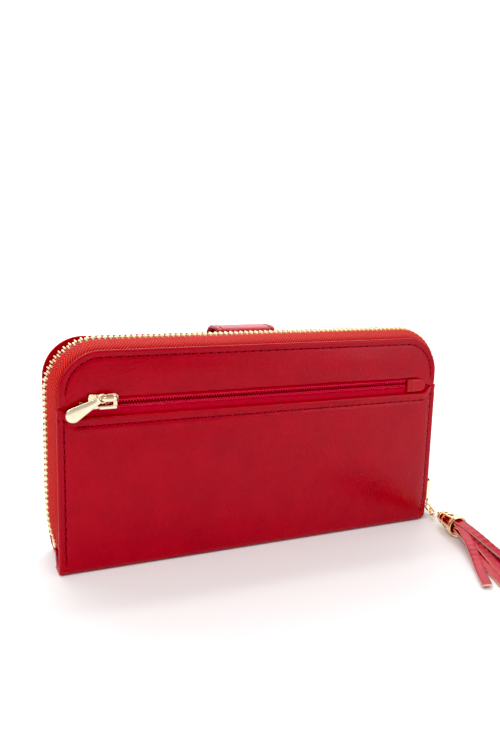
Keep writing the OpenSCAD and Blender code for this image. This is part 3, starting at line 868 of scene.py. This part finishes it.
def tooth_shape(way):
    """One tooth over the origin: jaws that grip the tape, a waist and a rounded head."""
    low = END_Y if way > 0 else 2 * CHAIN_Y - END_Y - TOOTH_LEN
    y = np.array([0, 0.12, 0.5, 1.0, 1.5, 1.9, 2.3, 2.8, 3.2, 3.5, TOOTH_LEN])
    wide = np.array([0.55, 0.8, 0.95, 0.95, 0.85, 0.78, 0.85, 1.0, 1.0, 0.85, 0.6]) * 0.44
    tall = np.array([0.6, 0.85, 1.0, 1.0, 0.94, 0.86, 0.88, 0.9, 0.84, 0.72, 0.5]) * 0.98
    if way < 0:
        wide, tall = wide[::-1], tall[::-1]
    cos, sin = np.cos(circle(12)), np.sin(circle(12))
    square = np.maximum(np.abs(cos), np.abs(sin)) ** -0.6
    half = TOOTH_THICK / 2
    return loft(points(wide[:, None] * cos * square, low + y[:, None],
                       TOOTH_OUT + half + half * tall[:, None] * sin * square))


def teeth_rows(way):
    """Where the teeth of one side stand: turns and places for the top and both sides."""
    part = 0.25 if way > 0 else 0.75
    turn_z, turn_x = TOP_Z - CORNER_R, HALF_W - CORNER_R

    def along(length, pitch=TOOTH_PITCH):
        """Even stations along a stretch of the chain, nearly a pitch apart."""
        count = round(length / pitch)
        return (np.arange(count) + part) * length / count

    def upright(x, z, turn=0.0):
        return Matrix.Translation((x, 0, z)) @ Matrix.Rotation(turn, 4, "Y")

    rows = {"": [], "_left": [], "_right": []}
    for s in along(turn_z - TEETH_START):
        for side, name in ((-1, "_left"), (1, "_right")):
            z = TEETH_START + s if side < 0 else turn_z - s
            x = side * HALF_W + float(tuck_in(z, side < 0))
            rows[name].append(upright(x, z, side * math.pi / 2))
    for a in along(math.pi / 2, TOOTH_PITCH / (CORNER_R + TOOTH_OUT + TOOTH_THICK / 2)):
        for side, turn in ((-1, a - math.pi / 2), (1, a)):
            rows[""].append(upright(side * turn_x, turn_z, turn) @ upright(0, CORNER_R))
    rows[""] += [upright(s - turn_x, TOP_Z) for s in along(2 * turn_x)]
    return rows


# Both sides of the chain: the back side's tape and teeth are baked in place, the front side's ride
# on the body.
for way, side in ((1, "back"), (-1, "front")):
    body = None if way > 0 else "body"
    made = tape_mesh(way).build("Main_Tape_" + side, [tape_cloth], body,
                                ["zip_tape_" + side], "zip_tape_cloth")
    if way > 0:
        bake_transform(made)
    tooth = tooth_shape(way)
    for name, spots in teeth_rows(way).items():
        row = Soup()
        for spot in spots:
            row.add(*tooth, spot=spot)
        made = row.build("Main_Teeth_" + side + name, [zip_metal], body,
                         ["zip_teeth_" + side + name], "zip_metal", sharp=50)
        if way > 0:
            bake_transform(made)

low, high = corners("zip_bottom_stop")
shift = np.array([float(tuck_in(11.3, True)), 0, 0])
Soup().add(*round_box(low + shift, high + shift, 0.35)).build(
    "Main_Bottom_Stop", [zip_metal], "body", ["zip_bottom_stop"], "zip_metal")


def gusset(node, side):
    """Folded cloth inside one end of the compartment, shaped as a valley."""
    low, high = corners(node)
    rows, cols = np.linspace(low[2], high[2], 40)[:, None], np.linspace(0, 1, 17)
    bellow = np.abs(2 * cols - 1) ** 1.3
    deep = bellow + 0.06 * np.sin(rows / 4) * (1 - bellow)
    front = points(side * (HALF_W - 6.6 + 3.9 * deep), low[1] + (high[1] - low[1]) * cols, rows)
    index = grid(*deep.shape)
    rim = np.concatenate([index[0], index[1:, -1], index[-1, -2::-1], index[-2:0:-1, 0]])
    behind = deep.size
    faces = quads(index) + quads(index + behind, flip=True)
    faces += [(a, b, b + behind, a + behind) for a, b in zip(rim, np.roll(rim, -1))]
    return Soup().add(np.concatenate([front, front + (side * 0.4, 0, 0)]), faces).build(
        node.title() + "_Fold", [lining_cloth], None, [node], "lining_cloth", sharp=60)


for side, node in ((-1, "gusset_left"), (1, "gusset_right")):
    low, high = corners(node)
    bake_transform(gusset(node, side))

# ---- pocket zip ----------------------------------------------------------------

COIL_PITCH, COIL_WIRE = 1.27, 0.26
PER_TURN = 14                           # points in one turn of the coil


def pocket_coil(low, high, way):
    """One half of the coil, with the row of sewing that holds it to its tape."""
    mid = (low + high) / 2
    turn = np.arange(int((high[0] - low[0] - 0.6) / COIL_PITCH * PER_TURN)) / PER_TURN
    angle = turn * 2 * math.pi
    x = low[0] + 0.3 + turn * COIL_PITCH + 0.16 * np.sin(2 * angle)
    path = points(x, mid[1] + 0.3 * np.cos(angle), mid[2] + way * 0.12 + 0.74 * np.sin(angle))
    seam = points(np.linspace(low[0], high[0], 120), low[1] + 0.42, mid[2] + way * 0.55)
    return Soup().add(*tube(path, COIL_WIRE, 6, up=(1, 0, 0.01))).add(
        *tube(seam, (COIL_WIRE, 0.2), 6))


def pocket_tape(low, high, way):
    """A ribbed tape with a bead along the coil."""
    edge = high[2] if way < 0 else low[2]

    def relief(x, z, gap):
        return ridge(z, edge + way * 1.0, 0.45, 0.16) + 0.05 * soft_noise(x, z, 9.0, 4.0)

    return Panel(Outline(high[0], low[2], high[2]), high[1] - low[1], standing(low[1], -1),
                 relief, 2.0).soup()


for way, name in ((-1, "lower"), (1, "upper")):
    pocket_coil(*corners("pocket_coil_" + name), way).build(
        "Pocket_Coil_" + name, [coil_nylon], "back_half", ["pocket_coil_" + name],
        "coil_nylon", sharp=70)
    pocket_tape(*corners("pocket_tape_" + name), way).build(
        "Pocket_Tape_" + name, [coil_cloth], "back_half", ["pocket_tape_" + name],
        "coil_tape")


def end_tab():
    """The leather tab over the zip's closed end, with a round outer end."""
    low, high = corners("pocket_end_tab")
    mid, half, place = (low + high) / 2, (high - low) / 2, standing(low[1], -1)

    def reach(x):
        over = np.clip((np.asarray(x, float) - half[0] + 3.2) / 3.2, 0, 0.985)
        return half[2] * np.sqrt(1 - over ** 2)

    outline = Outline(half[0], lambda x: mid[2] - reach(x), lambda x: mid[2] + reach(x))
    return Panel(outline, high[1] - low[1], lambda x, z, out: place(x + mid[0], z, out),
                 lambda x, z, gap: 0.12 * ease(gap / 1.5) - ridge(x, -3.4, 0.4, 0.12), 0.8)


end_tab().soup().build("Pocket_End_Tab", [edge_leather], "back_half", ["pocket_end_tab"],
                       "red_leather")

# ---- strap ---------------------------------------------------------------------

STRAP_LOW, STRAP_HIGH = corners("strap")
BASE_LOW = corners("strap_base")[0]
STRAP_X = (STRAP_LOW[0] + STRAP_HIGH[0]) / 2
STRAP_HALF = (STRAP_HIGH[0] - STRAP_LOW[0]) / 2
ARCH_R = 7.4


def strap_line(inset, start, end):
    """The strap's line in Y and Z, inset from its outer face, up, over the arch and down."""
    r = ARCH_R - inset
    near, far, top = BASE_LOW[1] + inset, STRAP_HIGH[1] - inset, STRAP_HIGH[2] - inset
    line = np.concatenate([points(near, np.linspace(start, top - r - 0.8, 12)),
                           arc(near + r, top - r, r, 180, 90, 16),
                           arc(far - r, top - r, r, 90, 0, 16),
                           points(far, np.linspace(top - r - 0.8, end, 16))])
    line[:, 1] -= ridge(line[:, 0], (near + far) / 2, 3.5, 0.5) * (line[:, 1] > top - 2)
    return line


def along_line(line, x_shift):
    """Puts a panel on a line in Y and Z. The line's left side is the outer face."""
    run, way = lengths(line), unit(np.gradient(line, axis=0))

    def place(x, s, out):
        y, z = np.interp(s, run, line[:, 0]), np.interp(s, run, line[:, 1])
        a, b = np.interp(s, run, way[:, 0]), np.interp(s, run, way[:, 1])
        size = np.hypot(a, b)
        return points(x + x_shift, y - out * b / size, z + out * a / size)

    return place, run[-1]


def strap_relief(x, s, gap):
    return (ridge(gap, 1.0, 0.7, 0.1) + ridge(gap, 2.6, 0.4, -0.2)
            + 0.06 * ease((gap - 3) / 5) * soft_noise(x, s, 9.0, 1.1))


place, length = along_line(strap_line(0, BASE_LOW[2], STRAP_LOW[2]), STRAP_X)
strap = Panel(Outline(STRAP_HALF, 0, length, 5.0), 1.4, place, strap_relief, 1.3)
seam_s = np.linspace(2, length - 6, 60)
seams = [(points(way * (STRAP_HALF - 2.6), seam_s), 4.0) for way in (-1, 1)]
made = sewn("Strap_Leather", strap, seams, None, "strap", "strap_base")
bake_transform(made)

place, length = along_line(strap_line(1.42, BASE_LOW[2] + 0.4, STRAP_LOW[2] + 0.4), STRAP_X)
outline = Outline(STRAP_HALF - 0.4, 0, length, 4.8)
made = Panel(outline, 0.95, place, cloth_relief(8.0, 0.02), 2.0).soup().build(
    "Strap_Lining", [lining_cloth], None, ["strap_lining"], "lining_cloth")
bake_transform(made)

# ---- pocket slider -------------------------------------------------------------

UPRIGHT = Matrix.Rotation(math.pi / 2, 4, "X")      # turns a plate's Y up and its face to -Y
SLIDER_X = (SLIDER_LOW[0] + SLIDER_HIGH[0]) / 2
SLIDER_HALF = (SLIDER_HIGH[0] - SLIDER_LOW[0]) / 2
REAR_Y = SLIDER_HIGH[1]
PLATE_FACE, PLATE_HALF = NEAR_Y - 0.9, 3.3
PLATE_Z, CROWN_Z = COIL_Z + 1.5, COIL_Z + 3.0
LEG_X = SLIDER_X - 0.5
FAR_LEG_X = LEG_X + 6.0
CROWN_R = 1.7


def round_loop(x0, x1, y0, y1, r, count=6):
    return np.concatenate([arc(x1 - r, y0 + r, r, -90, 0, count),
                           arc(x1 - r, y1 - r, r, 0, 90, count),
                           arc(x0 + r, y1 - r, r, 90, 180, count),
                           arc(x0 + r, y0 + r, r, 180, 270, count)])


def waisted(reach, half, pinch, r):
    """A round-ended plate that is narrower at its middle."""
    loop = round_loop(-reach, reach, -half, half, r, 8)
    t = np.linspace(0, 1, 12)[1:-1]
    edge = points((reach - r) * (1 - 2 * t), half - pinch * np.sin(math.pi * t))
    return np.concatenate([loop[:16], edge, loop[16:], -edge])


def add_plate(soup, loops, thick, bevel, y, z):
    """Adds a plate that faces -Y, with its middle at y and z."""
    soup.add(*cut_plate(loops, thick, bevel),
             spot=Matrix.Translation((SLIDER_X, y, z)) @ UPRIGHT)


slider = Soup()
add_plate(slider, [waisted(SLIDER_HALF, PLATE_HALF, 0.35, 1.5),
                   round_loop(-2.2, 4.4, -2.2, 1.0, 0.7)[::-1],
                   round_loop(-5.2, -4.0, -0.9, 0.5, 0.5)[::-1]],
          1.1, 0.3, PLATE_FACE + 0.55, PLATE_Z)
add_plate(slider, [waisted(SLIDER_HALF, 3.6, 0.5, 1.6)], 0.8, 0.2, REAR_Y - 0.4, COIL_Z)
slider.add(*round_box([SLIDER_X - SLIDER_HALF + 0.6, PLATE_FACE + 0.5, COIL_Z - 0.7],
                      [SLIDER_X - SLIDER_HALF + 2.8, REAR_Y - 0.3, COIL_Z + 0.7], 0.2))
slider.add(*round_box([SLIDER_X - 1.5, PLATE_FACE - 0.3, PLATE_Z - PLATE_HALF - 0.1],
                      [SLIDER_X + SLIDER_HALF - 0.2, PLATE_FACE + 0.7,
                       PLATE_Z - PLATE_HALF + 1.5], 0.35))
# The crown is a bow from one leg to the other, broad at its middle.
turn_y = SLIDER_LOW[1] + 0.5 + CROWN_R
bow = np.concatenate([[[LEG_X, PLATE_FACE + 0.4], [LEG_X, PLATE_FACE - 1.0]],
                      arc(LEG_X + CROWN_R, turn_y, CROWN_R, 180, 270, 8),
                      arc(FAR_LEG_X - CROWN_R, turn_y, CROWN_R, 270, 360, 8),
                      [[FAR_LEG_X, PLATE_FACE - 1.0], [FAR_LEG_X, PLATE_FACE + 0.4]]])
widen = 0.75 + 0.35 * np.sin(math.pi * np.linspace(0, 1, len(bow)))
slider.add(*tube(points(*bow.T, CROWN_Z), points(0.5, widen), 12))
for x in (LEG_X, FAR_LEG_X):
    slider.add(*round_box([x - 1.0, PLATE_FACE - 0.35, CROWN_Z - 1.1],
                          [x + 1.0, PLATE_FACE + 0.3, CROWN_Z + 1.1], 0.3))
slider.build("Pocket_Slider_Body", [gold_plate], "pocket_slider", ["pocket_slider"],
             "gold_plate", sharp=35)

# The puller: a ring round the crown's leg, and a blade that widens to a round end.
PULL_REACH, PULL_END, PULL_THICK, PULL_NECK = 13.6, 3.2, 1.15, 1.15
PULL_EYE, PULL_WIRE = 1.72, (0.48, 0.55)
BLADE_START = 1.6
BLADE_HALF = (PULL_REACH + PULL_END - BLADE_START) / 2
BLADE_MID = BLADE_START + BLADE_HALF
DROOP = math.radians(28)


def blade_width(x):
    """Half width of the blade. x is measured from its middle."""
    far = np.asarray(x, float) + BLADE_MID
    taper = PULL_NECK + (PULL_END - PULL_NECK) * np.clip(far / PULL_REACH, 0, 1)
    end = np.sqrt(np.maximum(PULL_END ** 2 - (far - PULL_REACH) ** 2, 0.01))
    return np.where(far > PULL_REACH, end, taper)


blade = Panel(Outline(BLADE_HALF, lambda x: -blade_width(x), blade_width), PULL_THICK,
              lambda x, z, out: points(x + BLADE_MID, z, out + PULL_THICK / 2),
              lambda x, z, gap: 0.22 * ease(gap / 2.2) - 0.22, 0.5, 0.5)
hang = (Matrix.Translation((LEG_X, NEAR_Y - 1.9, CROWN_Z))
        @ Matrix.Rotation(math.pi - DROOP, 4, "Y") @ UPRIGHT)
ring = points(PULL_EYE + PULL_WIRE[0] * np.cos(circle(12)), PULL_WIRE[1] * np.sin(circle(12)))
Soup().add(*revolve(ring, 36), spot=hang).add(blade.verts, blade.faces, spot=hang).build(
    "Pocket_Puller_Drop", [gold_plate], "pocket_puller", ["pocket_puller"], "gold_plate",
    sharp=50)

# ---- tassel --------------------------------------------------------------------

CAP_LOW, CAP_HIGH = corners("tassel_cap")
TURN = math.radians(8.4)
CAP_LEN, CAP_TOP, CAP_MOUTH = 16.4, 3.0, 5.2
TASSEL = (Matrix.Translation((CAP_HIGH[0] - CAP_TOP * math.cos(TURN),
                              CAP_HIGH[1] - CAP_TOP * math.sin(TURN),
                              (CAP_LOW[2] + CAP_HIGH[2]) / 2))
          @ Matrix.Rotation(math.pi - TURN, 4, "Z"))
LYING = TASSEL @ Matrix.Rotation(-math.pi / 2, 4, "X")   # a profile's Z runs along the tassel


def cap_radius(s):
    """The cap's radius at a distance from its top."""
    return 2.75 + (CAP_MOUTH - 0.45 - 2.75) * ease((np.asarray(s, float) - 1) / 15) ** 0.85


def on_cap(s, angle, r=0.0):
    radius = cap_radius(s) + r
    return points(radius * np.cos(angle), radius * np.sin(angle), s)


def pierced_wall(rows=62, cols=144, half=0.25):
    """The cap's wall, pierced by six rows of openings: a slot, and an H below it."""
    far, angle = np.linspace(2.0, 15.0, rows), circle(cols)
    mid = (far[:-1, None] + far[1:, None]) / 2
    part = (angle[None] + math.pi / cols) * 6 / (2 * math.pi) % 1 - 0.5
    slot_cut = (np.abs(mid - 4.3) < 1.1) & (np.abs(part) < 0.26)
    leg_cut = (np.abs(mid - 10.0) < 2.7) & (np.abs(np.abs(part) - 0.23) < 0.1)
    bar_cut = (np.abs(mid - 10.0) < 0.8) & (np.abs(part) < 0.3)
    solid = np.pad(~(slot_cut | leg_cut | bar_cut), ((1, 1), (0, 0)))
    index, size, faces = grid(rows, cols, join_cols=1), rows * cols, []
    for i, j in zip(*np.nonzero(solid[1:-1])):
        quad = [index[i, j], index[i, j + 1], index[i + 1, j + 1], index[i + 1, j]]
        faces += [quad, [q + size for q in quad[::-1]]]
        beside = (solid[i, j], solid[i + 1, (j + 1) % cols], solid[i + 2, j], solid[i + 1, j - 1])
        for n, closed in enumerate(beside):
            if not closed:
                p, q = quad[n], quad[(n + 1) % 4]
                faces.append([q, p, p + size, q + size])
    return np.concatenate([on_cap(far[:, None], angle[None], r).reshape(-1, 3)
                           for r in (half, -half)]), faces


cap = Soup()
cap.add(*revolve([(0.3, 0.0), (1.6, 0.0), (2.6, 0.5), (3.0, 1.3), (3.0, 2.1), (2.5, 2.1),
                  (2.4, 1.3), (1.4, 0.8), (0.3, 0.8)]), spot=LYING)
cap.add(*revolve([(4.5, 14.9), (4.95, 14.9), (5.15, 15.2), (5.2, 15.7), (5.1, 16.2),
                  (4.8, CAP_LEN), (4.5, 16.3)]), spot=LYING)
cap.add(*pierced_wall(), spot=LYING)
for s, wire in ((2.4, 0.4), (6.3, 0.3), (14.4, 0.4)):
    cap.add(*tube(on_cap(s, circle(48), 0.12), wire, 8, True), spot=LYING)
cap.build("Filigree_Cap", [tassel_gold], "tassel", ["tassel_cap"], "tassel_gold", sharp=40)

# The wound heads of the strips, with a shallow spiral.
far, angle = np.linspace(2.2, 13.4, 30)[:, None], circle(40)
radius = 2.1 + 1.8 * (far - 2.2) / 11.2 + 0.12 * np.sin(3 * angle + far * 0.9)
winding = points(radius * np.cos(angle), radius * np.sin(angle), far)
Soup().add(*loft(winding), spot=LYING).build(
    "Tassel_Core_Winding", [core_leather], "tassel", ["tassel_core"], "tassel_leather",
    sharp=50)

STRIP_LEN, STRIP_W, STRIP_T = 57.0, 4.3, 0.8
FAN = (-21, -4, 13, -14, 5, 18, -8)     # how far each strip points aside, in degrees


def strip_line(i, s, angle):
    """The middle line of a strip: out of the cap's mouth, down to the floor and along it."""
    t = s / STRIP_LEN
    x = np.concatenate([[0], np.cumsum(np.sin(angle[1:]) * np.diff(s))])
    y = CAP_LEN - 1.4 + np.concatenate([[0], np.cumsum(np.cos(angle[1:]) * np.diff(s))])
    start, floor_z = -3.3 + i + STRIP_T / 2, -cap_radius(16) + 0.02 + 0.24 * i
    z = floor_z + (start - floor_z) * (1 - ease(t * 1.15)) + 0.5 * np.sin(5.3 * t + i) * t * (1 - t)
    z += 0.10 * np.sin(s / 0.62 + 2.0 * i) * ridge(s, 20 + 4 * (i % 3), 9, 1.0)
    return points(x, y, z)


def strip_mesh(i, fan):
    """One flat strip with cut edges. Gives its points and faces, and each face's material."""
    s = np.linspace(0, STRIP_LEN, 110)
    t = s / STRIP_LEN
    angle = np.radians(fan * (0.72 + 0.42 * t) + 5 * np.sin(3.0 * t + 1.3 * i) * t)
    line = strip_line(i, s, angle)
    roll = np.radians(7 * np.sin(2.4 * t + 1.9 * i))
    aside = points(np.cos(angle) * np.cos(roll), -np.sin(angle) * np.cos(roll), np.sin(roll))
    run = unit(np.gradient(line, axis=0))
    above = np.cross(aside, run)
    w, h = STRIP_W / 2, STRIP_T / 2
    loop = [(-w, 0), (-w + .05, h - .1), (-w + .2, h), (-w / 2, h + .04), (0, h + .06),
            (w / 2, h + .04), (w - .2, h), (w - .05, h - .1), (w, 0), (w - .05, .1 - h),
            (w - .2, -h), (0, -h), (.2 - w, -h), (.05 - w, .1 - h)]
    slant = 1.4 * math.sin(1.7 * i + 0.6) * ease((t - 0.9) / 0.1)[:, None]
    verts, faces = loft(np.stack([line + aside * a + above * b + run * slant * a / w
                                  for a, b in loop], 1))
    cut = [int(j in (0, 7, 8, 13)) for _ in s[1:] for j in range(len(loop))]
    return verts, faces, cut + [1, 1]


strips = Soup()
for i, fan in enumerate(FAN):
    strips.add(*strip_mesh(i, fan), spot=TASSEL)
strips.build("Tassel_Strips_Leather", [strip_leather, cut_edge], "tassel", ["tassel_strips"],
             "tassel_leather", sharp=45)

# ---- floor, light and camera ---------------------------------------------------

FLOOR_Z = -0.05                         # a hair under the wallet
SPREAD = 20000


def pale_floor():
    made = Finish("Pale_Floor", (0.80, 0.79, 0.79), 0.7)
    made.paint(made.noise(0.01, 2), (0.79, 0.78, 0.78), (0.82, 0.81, 0.81))
    return made.made


# The floor runs up into a wall far behind the wallet.
rise = np.concatenate([[[-SPREAD, FLOOR_Z]], arc(1100, 700 + FLOOR_Z, 700, -90, 0, 24),
                       [[1800, 9000]]])
sweep = np.stack([points(x, *rise.T) for x in (-SPREAD, SPREAD)])
floor = Soup().add(sweep, quads(grid(2, len(rise)))).build("Floor", [pale_floor()], None, sharp=30)


def softbox(name, spot, target, wide, high, power):
    light = bpy.data.lights.new(name, "AREA")
    light.shape = "RECTANGLE"
    light.size, light.size_y = wide, high
    light.energy = power
    made = bpy.data.objects.new(name, light)
    bpy.context.scene.collection.objects.link(made)
    made.location = spot
    made.rotation_euler = (Vector(target) - Vector(spot)).to_track_quat("-Z", "Y").to_euler()


softbox("Key", (-0.75, -0.35, 0.95), (0, 0, 0.04), 0.9, 0.9, 8)
softbox("Back", (0.2, 0.95, 1.1), (0, 0.3, 0.04), 1.6, 0.8, 12)
softbox("Wall", (0.7, 0.6, 1.7), (0.8, 1.8, 0.8), 3.4, 0.6, 46)
softbox("Top", (-0.1, -0.45, 1.0), (0, 0, 0.06), 1.0, 0.18, 2.0)
softbox("Front", (0.75, -1.0, 0.35), (0, 0, 0.04), 0.35, 0.9, 2.5)

world = bpy.data.worlds.new("Studio")
bpy.context.scene.world = world
world.use_nodes = True
world.node_tree.nodes["Background"].inputs["Color"].default_value = (1, 1, 1, 1)
world.node_tree.nodes["Background"].inputs["Strength"].default_value = 0.52

# The camera stands in front of the left end, looks a little down and leans slightly.
EYE = Vector((-147.99, -317.97, 144.48)) * MM
YAW, PITCH, ROLL = 0.43018664, 0.18267841, 0.02710225
ahead = Vector((math.sin(YAW) * math.cos(PITCH), math.cos(YAW) * math.cos(PITCH),
                -math.sin(PITCH)))
level = ahead.cross(Vector((0, 0, 1))).normalized()
above = level.cross(ahead)
right = level * math.cos(ROLL) + above * math.sin(ROLL)
up = above * math.cos(ROLL) - level * math.sin(ROLL)
lens = bpy.data.cameras.new("Camera")
lens.lens = 35.82
lens.sensor_width = 36
lens.sensor_fit = "AUTO"
lens.clip_end = 20
camera = bpy.data.objects.new("Camera", lens)
bpy.context.scene.collection.objects.link(camera)
camera.matrix_world = (Matrix.Translation(EYE)
                       @ Matrix((right, up, -ahead)).transposed().to_4x4())
bpy.context.scene.camera = camera

view = bpy.context.scene.view_settings
view.view_transform = "Standard"
view.look = "None"
view.exposure = 0.0
view.use_curve_mapping = True
view.curve_mapping.black_level = (0.0, 0.014, 0.012)
view.curve_mapping.update()
